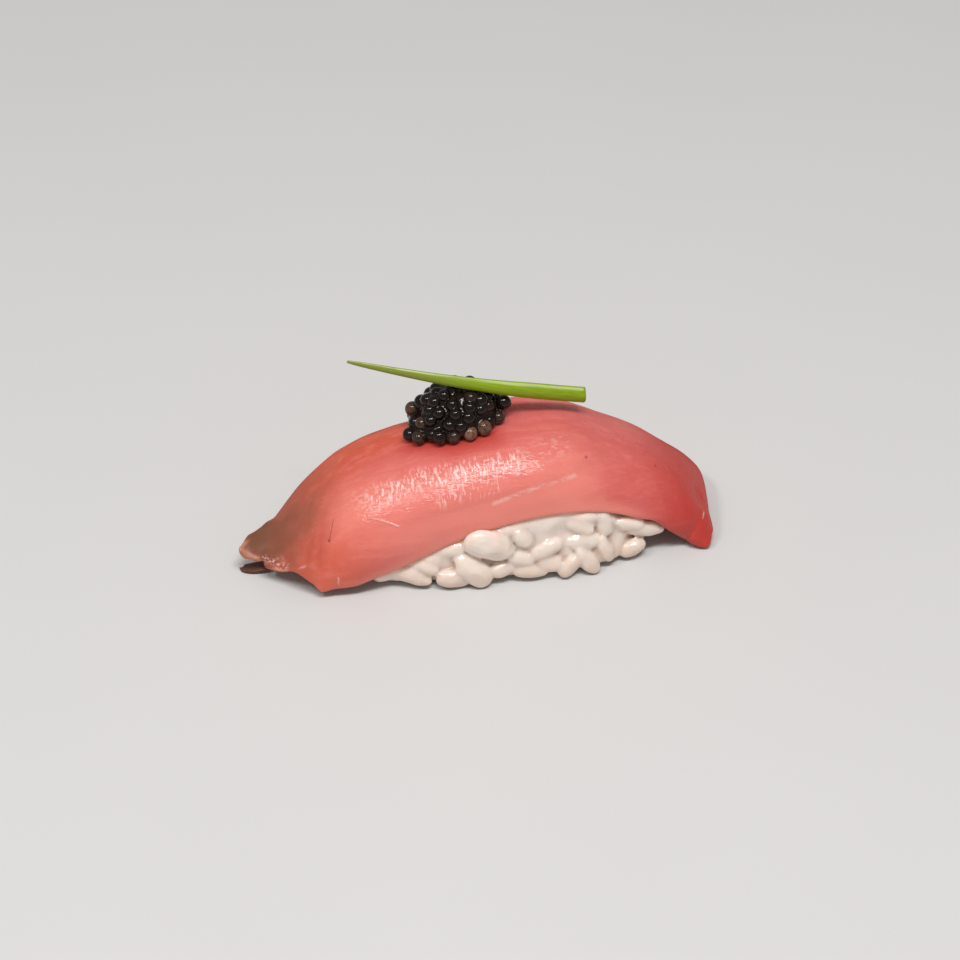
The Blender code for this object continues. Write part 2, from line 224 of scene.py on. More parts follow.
class Finish:
    """A Principled material that is being put together."""

    def __init__(self, name, constants):
        self.material = bpy.data.materials.new(name)
        self.material.use_nodes = True
        self.tree = self.material.node_tree
        self.shader = self.tree.nodes["Principled BSDF"]
        for socket, value in constants.items():
            self.shader.inputs[socket].default_value = value
        self.place = self.node("ShaderNodeTexCoord", output="Object")

    def node(self, kind, settings=None, inputs=None, output=0):
        """Adds a node with its settings and the values or links of its sockets, and returns one output."""
        made = self.tree.nodes.new(kind)
        for name, value in (settings or {}).items():
            setattr(made, name, value)
        for key, value in (inputs or {}).items():
            if isinstance(value, Value):
                self.tree.links.new(value.socket, made.inputs[key])
            else:
                made.inputs[key].default_value = value
        return Value(self, made.outputs[output])

    def link(self, socket, value):
        self.tree.links.new(value.socket, self.shader.inputs[socket])

    def mix(self, factor, first, second):
        """A colour between two colours or colour sockets."""
        ends = [c if isinstance(c, Value) else (*c, 1.0) for c in (first, second)]
        inputs = {0: factor, 6: ends[0], 7: ends[1]}
        return self.node("ShaderNodeMix", {"data_type": "RGBA"}, inputs, output=2)

    def layers(self, base, *masked):
        """Lays colours over a base one after another, each by its mask."""
        for mask, tone in masked:
            base = self.mix(mask, base, tone)
        return base

    def step(self, value, low, high):
        """0 below low, 1 above high and smooth between them."""
        return self.node(
            "ShaderNodeMapRange",
            {"interpolation_type": "SMOOTHSTEP"},
            {"Value": value, "From Min": low, "From Max": high},
        )

    def span(self, value, ends):
        """The same for two ends given in millimetres."""
        return self.step(value, ends[0] * MM, ends[1] * MM)

    def axes(self, vector=None):
        """The x, y and z of a vector, or of the object's own coordinates."""
        split = self.node("ShaderNodeSeparateXYZ", None, {0: vector or self.place})
        return [Value(self, output) for output in split.socket.node.outputs]

    def turned(self, rotation=(0, 0, 0), scale=(1, 1, 1)):
        """The object's own coordinates, turned and scaled."""
        inputs = {"Vector": self.place, "Rotation": rotation, "Scale": scale}
        return self.node("ShaderNodeMapping", None, inputs)

    def noise(self, size, detail=2.0, roughness=0.5, vector=None):
        """Noise of about this size in metres, from 0 to 1."""
        inputs = {"Vector": vector or self.place, "Scale": 1 / size, "Detail": detail, "Roughness": roughness}
        return self.node("ShaderNodeTexNoise", None, inputs)

    def attribute(self, name):
        return self.node("ShaderNodeAttribute", {"attribute_name": name}, output="Fac")

    def vector_math(self, operation, first, second, output="Vector"):
        return self.node("ShaderNodeVectorMath", {"operation": operation}, {0: first, 1: second}, output)

    def larger(self, first, second):
        return self.node("ShaderNodeMath", {"operation": "MAXIMUM"}, {0: first, 1: second})

    def near_line(self, start, end, reach):
        """1 on the line between two places given in millimetres, falling to 0 at its reach."""
        start, end = Vector(start) * MM, Vector(end) * MM
        line = end - start
        offset = self.vector_math("SUBTRACT", self.place, start)
        slope = line / max(line.length_squared, 1e-12)
        part = self.vector_math("DOT_PRODUCT", offset, slope, "Value")
        part = self.node("ShaderNodeClamp", None, {"Value": part})
        along = self.node("ShaderNodeVectorMath", {"operation": "SCALE"}, {0: line, "Scale": part})
        away = self.vector_math("DISTANCE", offset, along, "Value")
        return self.step(away, reach * MM, 0.0)

    def near_path(self, path, reach):
        """The same along a row of places."""
        near = self.near_line(path[0], path[1], reach)
        for start, end in zip(path[1:], path[2:]):
            near = self.larger(near, self.near_line(start, end, reach))
        return near

    def near_paths(self, paths, reach):
        """The same along several rows."""
        near = self.near_path(paths[0], reach)
        for path in paths[1:]:
            near = self.larger(near, self.near_path(path, reach))
        return near

    def bump(self, height, distance, normal=None):
        """A normal from a height of 0 to 1 that stands for this distance in metres."""
        inputs = {"Height": height, "Distance": distance}
        if normal is not None:
            inputs["Normal"] = normal
        return self.node("ShaderNodeBump", None, inputs)


# Where the looks of a piece change, in millimetres along one axis: from the first value to the second.
LOW_END_X = (-14, -30)
CREST_Y = (-4, 6)
CREST_X = (8, -14)
STEEP_X = (19, 33)
PALE_FROM_X = (-32, -16)
PALE_TO_X = (28, 18)
TIP_X = (-31, -40)
RIND_X = (-26, -31)
# Where the fold under the tip is painted dark as shade.
UNDER_TIP_Z = (1.7, 1.1)
UNDER_TIP_X = (-35, -36.5)
SMOOTH_CUT_X = (-30, -22)
# Where the rice is painted darker as shade towards the floor.
RICE_SHADE_Z = (6, 0)
CHIVE_TIP = 13 * MM  # how long the chive's pale tip is


def slice_finish(settings):
    finish = Finish(
        "tuna_flesh",
        {
            "IOR": 1.42,
            "Specular IOR Level": 0.34,
            "Subsurface Weight": 0.25,
            "Subsurface Radius": (1.0, 0.30, 0.22),
            "Subsurface Scale": 1.6 * MM,
        },
    )
    x, y, z = finish.axes()
    rim = finish.attribute("rim")
    cut = finish.attribute("cut")
    cloudy = finish.noise(9 * MM, 3.0, 0.55)
    mottled = finish.noise(2.2 * MM, 4.0, 0.6)
    grain = {"rotation": (0.3, 0.0, math.radians(-24)), "scale": (0.16, 1.0, 1.0)}
    streaks = finish.noise(1.3 * MM, 3.0, 0.6, finish.turned(**grain))

    low_end = finish.span(x + (cloudy - 0.5) * (12 * MM), LOW_END_X)
    crest_shade = finish.span(y, CREST_Y) * finish.span(x, CREST_X)
    steep = finish.span(x + (cloudy - 0.5) * (8 * MM), STEEP_X)
    shown = finish.span(x, PALE_FROM_X) * finish.span(x, PALE_TO_X)
    tip = finish.span(x - z * 0.5 + (cloudy - 0.5) * (5 * MM), TIP_X)
    end_rim = finish.step(rim, 0.80, 0.97) * finish.span(x, RIND_X)
    under_tip = finish.span(z, UNDER_TIP_Z) * finish.span(x, UNDER_TIP_X)
    slit = finish.near_path(SLIT, 0.20)
    base = finish.layers(
        settings.flesh,
        (low_end, settings.coral),
        # Painted shade on the far side, against the floor's reflected sheen.
        (crest_shade * 0.9, settings.crest_shade),
        (finish.step(streaks, 0.4, 0.75) * 0.25, settings.pale),
        (finish.step(mottled, 0.45, 0.8) * 0.2, settings.deep_and_shade),
        (steep * 0.9, settings.deep_and_shade),
        # Painted sheen: a broad pale glow along the front, round its highlights.
        (finish.near_path(SHEEN_BAND, 10) * 0.52, settings.pale),
        (cut * shown * 0.42, settings.pale),
        # Painted shadow under the roe.
        (finish.near_path(ROE_SHADOW, 4.5) * 0.72, settings.deep_and_shade),
        # The thin rim is paler: thin flesh, and painted light against the dark line where the slice meets the
        # rice.
        (finish.step(rim, 0.3, 1.0) * shown * 0.7, settings.pale),
        (tip * (1.0 - 0.2 * finish.step(cloudy, 0.4, 0.7)), settings.tip),
        (end_rim * 0.55, settings.rind),
        # Painted shade on the fold under the tip.
        (under_tip * 0.75, settings.shade),
        *((finish.near_path((place, place), size), settings.speck_and_slit_shade) for place, size in SPECKS),
        # Painted shade in the slit.
        (slit * 0.3, settings.speck_and_slit_shade),
        # Painted shade along the folds.
        *((finish.near_path(path, 1.1) * 0.25, settings.deep_and_shade) for path in FOLDS),
    )

    across = {"rotation": (0.0, 0.0, math.radians(70)), "scale": (0.40, 1.0, 1.0)}
    fibres = finish.noise(0.5 * MM, 2.0, 0.6, finish.turned(**across))
    threads = finish.noise(0.36 * MM, 2.0, 0.6, finish.turned(scale=(1.0, 0.24, 0.24)))
    crinkles = finish.noise(0.45 * MM, 2.0, 0.6)
    core = finish.larger(finish.near_path(GLINTS, 3.0), finish.near_path(LOW_GLINTS, 2.2) * 0.7)
    ridge_glints = finish.near_path(RIDGE_GLINTS, 0.62) * finish.step(fibres, 0.35, 0.6)
    lip = finish.near_path(LIP, 1.2)
    nicks = finish.near_paths(NICKS, 0.30)
    # Painted highlights: faint sparkle on the fibres, glints, a streak of glints along the ridge, and glints
    # on the lip and the nicks.
    base = finish.layers(
        base,
        (finish.step(fibres, 0.48, 0.66) * finish.near_path(SPARKLE, 3.6) * 0.30, settings.painted_highlight),
        (finish.step(threads, 0.50, 0.62) * core * 0.68, settings.glint),
        (ridge_glints * 0.42, settings.painted_highlight),
        (lip * finish.step(crinkles, 0.46, 0.64) * 0.7, settings.painted_highlight),
        (nicks * finish.step(crinkles, 0.34, 0.60) * 0.55, settings.painted_highlight),
    )
    finish.link("Base Color", base)

    wet = finish.noise(0.7 * MM, 2.0, 0.6)
    facing = finish.node("ShaderNodeLayerWeight", None, {"Blend": 0.5}, "Facing")
    finish.link("Roughness", settings.gloss + 0.12 * wet + 0.8 * facing**3 + 0.2 * tip)
    rough = 0.12 + 0.88 * finish.step(cut, 0.6, 0.1) * finish.span(x, SMOOTH_CUT_X)
    normal = finish.bump(fibres * rough + threads * core * 0.5 + streaks * 0.15, settings.fibre)
    normal = finish.bump(lip * crinkles, 0.5 * MM, normal)
    finish.link("Normal", finish.bump(nicks - slit, 0.12 * MM, normal))
    return finish.material


def rice_finish(settings):
    finish = Finish(
        "cooked_rice",
        {
            "IOR": 1.40,
            "Subsurface Weight": 1.0,
            "Subsurface Radius": (1.0, 0.75, 0.58),
            "Subsurface Scale": 1.5 * MM,
            "Coat Roughness": 0.05,
            "Coat Weight": 0.7,
        },
    )
    height = finish.attribute("height")
    cloudy = finish.noise(1.6 * MM, 3.0, 0.5)
    patches = finish.noise(7 * MM, 2.0, 0.5)
    base = finish.layers(
        settings.milky,
        (finish.step(patches, 0.3, 0.7) * 0.6, settings.clear),
        (finish.step(cloudy, 0.45, 0.75) * 0.15, settings.clear),
        # Painted shade between the grains.
        (finish.step(height, 0.45, 0.05) * 0.8, settings.crease_shade),
        # Painted shade, darker towards the floor.
        (finish.span(finish.axes()[2], RICE_SHADE_Z) * 0.55, settings.crease_shade),
        # Painted light along the contact with the fish.
        (finish.attribute("near") * 0.85, settings.contact_light),
    )
    finish.link("Base Color", base)
    finish.link("Roughness", 0.14 + 0.14 * cloudy)
    finish.link("Normal", finish.bump(finish.noise(0.9 * MM, 2.0, 0.5), 0.10 * MM))
    return finish.material


def egg_finish(settings):
    finish = Finish(
        "roe_skin",
        {
            "IOR": 1.38,
            "Subsurface Weight": 0.12,
            "Subsurface Radius": (1.0, 0.5, 0.3),
            "Subsurface Scale": 0.8 * MM,
            "Specular IOR Level": 0.52,
        },
    )
    tint = finish.attribute("tint")
    cloudy = finish.noise(0.9 * MM, 2.0, 0.5)
    spots = finish.noise(0.55 * MM, 2.0, 0.6)
    base = finish.mix(finish.step(tint, 0.0, 1.0), settings.dark, settings.brown)
    base = finish.mix(finish.step(spots, 0.5, 0.62) * 0.6, base, settings.dark)
    finish.link("Base Color", base)
    finish.link("Roughness", 0.02 + 0.05 * cloudy)
    finish.link("Normal", finish.bump(cloudy, 0.006 * MM))
    return finish.material


def chive_finish(settings, lie):
    finish = Finish(
        "chive_leaf",
        {
            "IOR": 1.40,
            "Subsurface Weight": 0.15,
            "Subsurface Radius": (0.5, 1.0, 0.2),
            "Subsurface Scale": 0.8 * MM,
            "Specular IOR Level": 0.35,
        },
    )
    along = finish.turned(rotation=lie)
    x = finish.axes(along)[0]
    stretched = finish.node("ShaderNodeMapping", None, {"Vector": along, "Scale": (0.035, 1.0, 1.0)})
    veins = finish.noise(0.28 * MM, 2.0, 0.5, stretched)
    broad = finish.noise(0.9 * MM, 2.0, 0.5, stretched)
    patches = finish.noise(3.5 * MM, 3.0, 0.6)
    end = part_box("chive")[0].x
    # A painted highlight along the edge that faces the light.
    line = finish.step(finish.attribute("upper"), 0.95, 0.99) * finish.step(broad, 0.30, 0.55)
    base = finish.layers(
        settings.green,
        (finish.step(veins, 0.35, 0.7) * 0.45, settings.light),
        (finish.step(broad, 0.5, 0.75) * 0.3, settings.light),
        (finish.step(patches, 0.5, 0.8) * 0.3, settings.green),
        (finish.step(x, end + CHIVE_TIP, end) * 0.85, settings.tip),
        # Painted highlight along the upper edge.
        (line * 0.75, settings.edge),
    )
    finish.link("Base Color", base)
    finish.link("Roughness", 0.34 + 0.15 * patches)
    finish.link("Normal", finish.bump(veins, settings.vein))
    return finish.material


# Shaping


def deselect():
    if bpy.context.object and bpy.context.object.mode != "OBJECT":
        bpy.ops.object.mode_set(mode="OBJECT")
    bpy.ops.object.select_all(action="DESELECT")


def choose(obj):
    """Makes this the only selected object and the active one."""
    deselect()
    obj.select_set(True)
    bpy.context.view_layer.objects.active = obj


def edit(obj):
    """Opens a mesh in edit mode with all of it selected."""
    choose(obj)
    bpy.ops.object.mode_set(mode="EDIT")
    bpy.ops.mesh.select_all(action="SELECT")


def modify(obj, kind, **values):
    """Adds a modifier and applies it."""
    modifier = obj.modifiers.new(kind, kind)
    for name, value in values.items():
        setattr(modifier, name, value)
    choose(obj)
    bpy.ops.object.modifier_apply(modifier=modifier.name)


def apply_place(obj):
    choose(obj)
    bpy.ops.object.transform_apply(location=True, rotation=True, scale=True)


def copy_of_node(node, name):
    """A new piece from a CAD node's mesh, with its loose triangles joined up and paired into quads."""
    piece = bpy.data.objects.new(name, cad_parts[node].data.copy())
    bpy.context.scene.collection.objects.link(piece)
    piece.data.name = name
    piece.data.materials.clear()
    edit(piece)
    bpy.ops.mesh.remove_doubles(threshold=0.005 * MM)
    limit = math.radians(60)
    bpy.ops.mesh.tris_convert_to_quads(face_threshold=limit, shape_threshold=limit)
    bpy.ops.mesh.customdata_custom_splitnormals_clear()
    bpy.ops.object.mode_set(mode="OBJECT")
    return piece


def duplicate(obj):
    """A copy with its own mesh."""
    copied = obj.copy()
    copied.data = obj.data.copy()
    bpy.context.scene.collection.objects.link(copied)
    return copied


def stretch(obj, factors):
    """Scales all of a mesh in edit mode."""
    edit(obj)
    bpy.ops.transform.resize(value=factors)
    bpy.ops.object.mode_set(mode="OBJECT")


def crease_sharp_edges(obj, angle, amount):
    """Lets the edges that turn sharply keep part of their sharpness when subdivided."""
    edit(obj)
    bpy.ops.mesh.select_mode(type="EDGE")
    bpy.ops.mesh.select_all(action="DESELECT")
    bpy.ops.mesh.edges_select_sharp(sharpness=angle)
    bpy.ops.transform.edge_crease(value=amount)
    bpy.ops.mesh.select_mode(type="VERT")
    bpy.ops.object.mode_set(mode="OBJECT")


def subdivide(obj, levels):
    modify(obj, "SUBSURF", levels=levels, render_levels=levels)


def remesh(obj, voxel):
    modify(obj, "REMESH", mode="VOXEL", voxel_size=voxel)


def relax(obj, factor, times):
    modify(obj, "SMOOTH", factor=factor, iterations=times)


def shade(obj):
    choose(obj)
    bpy.ops.object.shade_smooth()


def vectors_of(collection, field):
    values = np.empty(len(collection) * 3)
    collection.foreach_get(field, values)
    return values.reshape(-1, 3)


def points_of(obj):
    return vectors_of(obj.data.vertices, "co")


def normals_of(obj):
    return vectors_of(obj.data.vertex_normals, "vector")


def set_points(obj, co):
    obj.data.vertices.foreach_set("co", co.astype(np.float32).ravel())
    obj.data.update()


def swell(obj, amount):
    """Moves each point out along its normal, all by one amount or each by its own."""
    set_points(obj, points_of(obj) + normals_of(obj) * np.reshape(amount, (-1, 1)))


def set_attribute(obj, name, values):
    attribute = obj.data.attributes.new(name, "FLOAT", "POINT")
    attribute.data.foreach_set("value", values.astype(np.float32))


def tree_of(obj):
    bm = bmesh.new()
    bm.from_mesh(obj.data)
    tree = BVHTree.FromBMesh(bm)
    bm.free()
    return tree


def distances(tree, co):
    """How far each point is from the nearest face in a tree."""
    return np.array([tree.find_nearest(Vector(point))[3] for point in co])


def inside_box(co, box):
    """The points, kept inside a CAD node's box."""
    low, high = box
    return np.clip(co, np.array(low), np.array(high))


def outline_of(node, voxel, times):
    """A heap's smoothed outline from its CAD node, for placing what it is made of."""
    outline = copy_of_node(node, node + "_outline")
    remesh(outline, voxel)
    relax(outline, 0.6, times)
    return outline


def hump(value, middle, width):
    return np.exp(-(((value - middle) / width) ** 2))


def ease(value, low, high):
    """0 below low, 1 above high and smooth between them, for an array."""
    t = np.clip((value - low) / (high - low), 0, 1)
    return t * t * (3 - 2 * t)


def uneven(co, size, seed):
    """Smooth noise of about this size at each point, from about -1 to 1."""
    shift = Vector((seed * 13.7, seed * 7.1, seed * 3.3))
    return np.array([noise.noise(Vector(p) / size + shift) for p in co])


def join(pieces, name):
    deselect()
    for piece in pieces:
        piece.select_set(True)
    bpy.context.view_layer.objects.active = pieces[0]
    bpy.ops.object.join()
    pieces[0].name = name
    pieces[0].data.name = name
    apply_place(pieces[0])
    return pieces[0]


def dress(piece, material, node=None):
    """Gives a finished piece its material and its place in the frame."""
    piece.data.materials.clear()
    piece.data.materials.append(material)
    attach(piece, "root")
    if node:
        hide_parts(node)


def discard(obj):
    bpy.data.objects.remove(obj)


# Tuna

RIM_ANGLE = math.radians(40)  # a sharper turn than this is the slice's rim
RIM_REACH = 4.0 * MM
RIDGE_X = (-24, -11.6, -0.3, 13.6)  # where the slice's cut side face begins, in millimetres
RIDGE_Z = (12.2, 14.4, 16.8, 18.6)
GRABS = (  # where the rim is moved, by how much and how far round, in millimetres
    ((-32.3, -11.7, 3.0), (0.0, 0.2, 1.3), 4.5),
    ((-28.9, -13.2, 1.5), (-0.4, -0.2, -0.3), 2.2),
    ((-37.2, -7.1, 2.6), (-0.7, 0.0, 1.15), 3.2),
    ((-39.6, -2.3, 4.6), (-0.4, 0.4, 0.9), 3.4),
    ((-41.0, -5.3, 4.2), (-0.2, -0.3, -0.5), 1.6),
    ((-31.5, 3.0, 8.5), (0.0, 0.2, 0.5), 7.0),
    ((34.0, 4.0, 6.0), (0.5, 0.0, 0.3), 9.0),
    ((34.5, -7.6, 3.0), (0.5, 0.0, 0.0), 3.5),
    ((33.4, -9.7, 0.9), (1.0, -0.2, -0.3), 2.4),
    ((-37.3, 0.3, 4.6), (0.0, 0.2, 1.0), 3.2),
    ((-28.5, -13.3, 1.5), (0.0, 0.3, 0.65), 6.0),
    ((25.3, -10.0, 6.6), (0.0, 0.0, 0.8), 3.8),
    ((11.0, 7.5, 19.6), (0.0, 0.0, 0.75), 9.0),
    ((4.3, 7.6, 20.5), (0.0, 0.0, 0.85), 6.0),
    ((35.2, -9.0, 2.2), (0.3, 0.0, 0.0), 2.5),
)
# Folds in the flesh: grooves in its surface, painted darker along them as shade.
FOLDS = (
    ((-30.2, -8.0, 8.5), (-31.5, -11.0, 5.0)),
    ((-28.3, -6.5, 11.5), (-29.6, -11.5, 6.0)),
    ((33.4, -3.0, 7.0), (34.0, -7.6, 3.2)),
)
SHEEN_BAND = ((-23.0, -8.5, 14.0), (10.0, -8.5, 17.5))  # the middle of a painted sheen along the front, a broad pale glow round its highlights
# Where the roe's shadow is painted on the slice, along the foot of the mound.
ROE_SHADOW = ((-12.5, 0.5, 20.0), (-6.5, -2.6, 20.6), (-1.0, -2.0, 21.3))
SPARKLE = (
    (-22.2, -7.1, 14.7),
    (-15.7, -7.5, 16.7),
    (-9.4, -7.4, 18.4),
    (-1.1, -7.7, 19.4),
    (10.0, -4.5, 20.0),
)
GLINTS = ((-19.5, -7.4, 15.6), (-13.6, -6.9, 17.6), (-8.0, -7.3, 18.8), (-2.0, -7.3, 19.6), (2.5, -7.0, 20.0))
LOW_GLINTS = ((-9.0, -10.2, 16.2), (-6.4, -9.8, 17.0), (-1.2, -9.6, 17.7))
# A painted highlight: a streak of glints along the ridge.
RIDGE_GLINTS = ((-1.3, -10.9, 15.0), (5.2, -10.2, 16.8), (12.0, -8.5, 17.2))
# A fine slit: a groove in the relief, painted darker as shade.
SLIT = ((-26.7, -7.5, 11.7), (-27.5, -9.7, 9.6))
# Small nicks: shallow relief, with painted highlights along them.
NICKS = (
    ((-21.2, -9.8, 13.4), (-19.0, -10.7, 13.4), (-16.7, -11.7, 12.7)),
    ((-26.6, -13.4, 4.5), (-26.7, -13.6, 2.6)),
    ((34.4, -4.6, 5.6), (34.3, -6.0, 5.3), (33.5, -7.6, 4.9)),
)
# The curled lip: crinkled relief, with painted highlights on it.
LIP = ((-38.0, -6.4, 4.1), (-36.2, -7.6, 4.0), (-34.4, -9.2, 3.9))
SPECKS = (((14.2, -5.8, 18.5), 0.45), ((26.1, -3.5, 13.4), 0.40), ((-27.6, -9.8, 9.4), 0.40))
LIP_AT = (-34.6, -8.4)  # the hollow behind the curled lip
LIP_DEPTH = 0.55
LIP_REACH = 1.6
FOLD_DEPTH = 0.22
FOLD_REACH = 1.0
RIDGE_FADES = ((-24, -8), (13, 21), (-5, -1))  # in along x, out along x and out towards the back
CUT_FADES = ((-26, -12), (10, 20), (-4, -1))
FLAP_AT = (-39.05, -4.7, 0.65)
FLAP_LENGTH = 5.2
FLAP_WIDTH = 2.2
FLAP_DEPTH = 0.45


def rim_points(obj):
    """Points close together along the slice's rim."""
    bm = bmesh.new()
    bm.from_mesh(obj.data)
    found = []
    for edge in bm.edges:
        if edge.is_manifold and edge.calc_face_angle() > RIM_ANGLE:
            first, second = edge.verts
            found += [first.co.lerp(second.co, k / 4) for k in range(4)]
    bm.free()
    return found


def distance_to(points, co):
    tree = KDTree(len(points))
    for number, point in enumerate(points):
        tree.insert(point, number)
    tree.balance()
    return np.array([tree.find(p)[2] for p in co])


def ridge_line(x):
    """The height of the line where the slice's cut side face begins, at an x in millimetres."""
    return np.interp(x, RIDGE_X, RIDGE_Z)


def along_front(x, y, fades):
    """1 along the slice's front and 0 beyond its fades."""
    start, end, back = fades
    return ease(x, *start) * (1 - ease(x, *end)) * (1 - ease(y, *back))


def ridge_height(co, depth):
    """The step along that line: it stands out, and the cut face below it lies deeper."""
    x, y, z = (co / MM).T
    line = ridge_line(x)
    shown = along_front(x, y, RIDGE_FADES)
    step = ease(z, line - 1.1, line + 0.1) * (1 - ease(z, line + 0.1, line + 5.0))
    return shown * depth * (step - 0.3 * hump(z, line - 3.0, 2.4))


def grab(co, at, move, reach):
    """Moves the points round a place with a smooth falloff; all three are in millimetres."""
    away = np.linalg.norm(co / MM - np.array(at), axis=1)
    return co + (1 - ease(away, 0, reach))[:, None] * np.array(move) * MM


def model_flap():
    """The thin fold of flesh under the slice's tip, which hangs clear of it; the slice's finish paints it dark
    as shade.
    """
    deselect()
    bpy.ops.mesh.primitive_grid_add(x_subdivisions=16, y_subdivisions=8, size=1.0)
    flap = bpy.context.object
    flap.name = "flap"
    edit(flap)
    bpy.ops.mesh.extrude_region_move(TRANSFORM_OT_translate={"value": (0, 0, 1)})
    bpy.ops.mesh.select_all(action="SELECT")
    bpy.ops.mesh.normals_make_consistent(inside=False)
    bpy.ops.object.mode_set(mode="OBJECT")
    u, v, w = points_of(flap).T
    narrow = np.sqrt(np.clip(1 - (2 * u) ** 2, 0, 1)) ** 0.8
    x = FLAP_AT[0] + FLAP_LENGTH * u + 0.6 * v
    y = FLAP_AT[1] + FLAP_WIDTH * v * narrow - 0.9 * u
    z = FLAP_AT[2] + (w - 0.5) * FLAP_DEPTH * (0.25 + 0.75 * narrow) + 0.25 * np.sin(5 * u)
    set_points(flap, np.stack([x, y, z], 1) * MM)
    return flap


def make_slice(settings):
    piece = copy_of_node("tuna_slice", "tuna_flesh")
    rim = rim_points(piece)
    crease_sharp_edges(piece, RIM_ANGLE, 0.35)
    subdivide(piece, 2)
    co = points_of(piece)
    for at, move, reach in GRABS:
        co = grab(co, at, move, reach)
    set_points(piece, co)
    normals = normals_of(piece)
    away = distance_to(rim, co)
    height = ridge_height(co, settings.ridge)
    height += settings.waviness * ease(away, 0, 5 * MM) * uneven(co, 9 * MM, 1)
    height += 0.3 * settings.waviness * ease(away, 0, 2 * MM) * uneven(co, 3 * MM, 2)
    x, y, z = (co / MM).T
    height -= LIP_DEPTH * MM * hump(np.hypot(x - LIP_AT[0], y - LIP_AT[1]), 0, LIP_REACH)
    for start, end in FOLDS:
        line = np.array(end) - start
        part = np.clip(((co / MM - start) @ line) / (line @ line), 0, 1)
        beside = np.linalg.norm(co / MM - start - part[:, None] * line, axis=1)
        height -= FOLD_DEPTH * MM * hump(beside, 0, FOLD_REACH)
    outer = ease(normals[:, 2], -0.1, 0.3)
    co = co + normals * (height * outer)[:, None]
    set_points(piece, inside_box(co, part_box("tuna_slice")))
    set_attribute(piece, "rim", np.clip(1 - away / RIM_REACH, 0, 1))
    shown = along_front(x, y, CUT_FADES)
    set_attribute(piece, "cut", shown * (1 - ease(z, ridge_line(x) - 2.4, ridge_line(x) + 0.4)))
    piece = join([piece, model_flap()], "tuna_flesh")
    shade(piece)
    return piece


class NIGIRI_OT_slice(bpy.types.Operator):
    """Shapes the tuna slice from its CAD node and gives it moist flesh"""

    bl_idname = "nigiri.slice"
    bl_label = "Tuna slice"

    def execute(self, context):
        settings = context.scene.nigiri_slice
        piece = make_slice(settings)
        dress(piece, slice_finish(settings), "tuna_slice")
        return {"FINISHED"}


# Rice

# The grains that show in front: x, z, lean in degrees, length, width and how far out, in millimetres.
FRONT_GRAINS = (
    (-15.3, 3.0, -18, 7.9, 3.4, 0.0),
    (-12.7, 4.1, -25, 4.4, 2.9, 0.2),
    (-11.9, 5.6, -13, 4.2, 2.9, 0.6),
    (-8.2, 7.0, 7, 4.8, 3.1, 0.7),
    (-2.2, 7.6, -23, 8.7, 5.6, 0.6),
    (-8.1, 1.9, -10, 5.9, 3.4, 0.0),
    (-5.1, 3.4, -42, 7.6, 4.5, 0.2),
    (3.0, 4.4, -13, 4.9, 2.7, 0.0),
    (-0.1, 2.8, 13, 4.1, 2.9, -0.2),
    (4.2, 2.1, -7, 6.2, 2.7, -0.2),
    (3.3, 8.2, -48, 4.2, 2.9, 0.0),
    (7.2, 5.2, 25, 6.1, 3.8, -0.4),
    (7.9, 3.0, -13, 5.0, 3.3, -0.2),
    (13.1, 5.6, -3, 5.9, 3.3, 0.2),
    (11.1, 2.1, 43, 5.1, 3.5, 0.0),
    (13.7, 2.8, -55, 6.0, 3.0, 0.3),
    (17.2, 3.8, -66, 5.4, 2.7, 0.0),
    (16.8, 8.3, -78, 5.6, 3.0, 0.2),
    (3.0, 9.6, 7, 6.2, 3.3, -0.3),
    (8.2, 10.0, 0, 6.8, 3.3, -0.3),
    (12.2, 8.8, -25, 5.8, 3.0, -0.3),
    (13.8, 10.4, 0, 4.9, 2.5, -0.3),
    (20.7, 7.5, -7, 5.0, 2.5, -0.2),
)
# Those at the high end of the front: middle, lean in degrees, length and width, in millimetres.
END_GRAINS = (
    ((23.75, -8.9, 5.1), -14, 6.8, 3.1),
    ((21.6, -9.9, 2.1), 22, 4.6, 3.5),
    ((21.0, -9.5, 6.9), -15, 5.4, 2.8),
)
FRONT_CLEAR = 2.8  # closer than this in millimetres to a front grain, none is added
FRONT_START = -17.0  # in front, rows of grains are added only between these
FRONT_STOP = 22.0
GRAIN_DEPTH = 0.9  # of a grain's width
RICE_CLEAR = 0.06 * MM  # how far the rice's points are pressed back off the slice


def model_grain():
    """One cooked grain of unit length, plump, a little bent, with a blunt end and a germ notch."""
    deselect()
    bpy.ops.mesh.primitive_uv_sphere_add(segments=14, ring_count=12, radius=0.5, rotation=(0, math.pi / 2, 0))
    grain = bpy.context.object
    grain.name = "grain"
    apply_place(grain)
    stretch(grain, (1.0, 1.0, 0.88))
    co = points_of(grain)
    x = co[:, 0]
    sphere = np.maximum(0.25 - x * x, 1e-4) ** 0.5
    blunt = (0.25 - np.minimum(x * x, 0.25)) ** 0.38 / sphere * 0.25**0.12
    blunt = np.clip(blunt, 1.0, 1.25)
    co[:, 1] *= blunt * (1 - 0.14 * x)
    co[:, 2] *= blunt * (1 - 0.10 * x)
    co[:, 2] += 0.10 * (x * x - 0.08)
    notch = hump(x, 0.40, 0.10) * hump(co[:, 1], 0.28, 0.22)
    co[:, 1] -= 0.10 * notch
    set_points(grain, co)
    return grain


def copy_grain(grain, size, matrix):
    """A copy of the grain with its own mesh, at its length, width and depth."""
    piece = duplicate(grain)
    piece.matrix_world = matrix @ Matrix.Diagonal((*size, 1.0))
    return piece


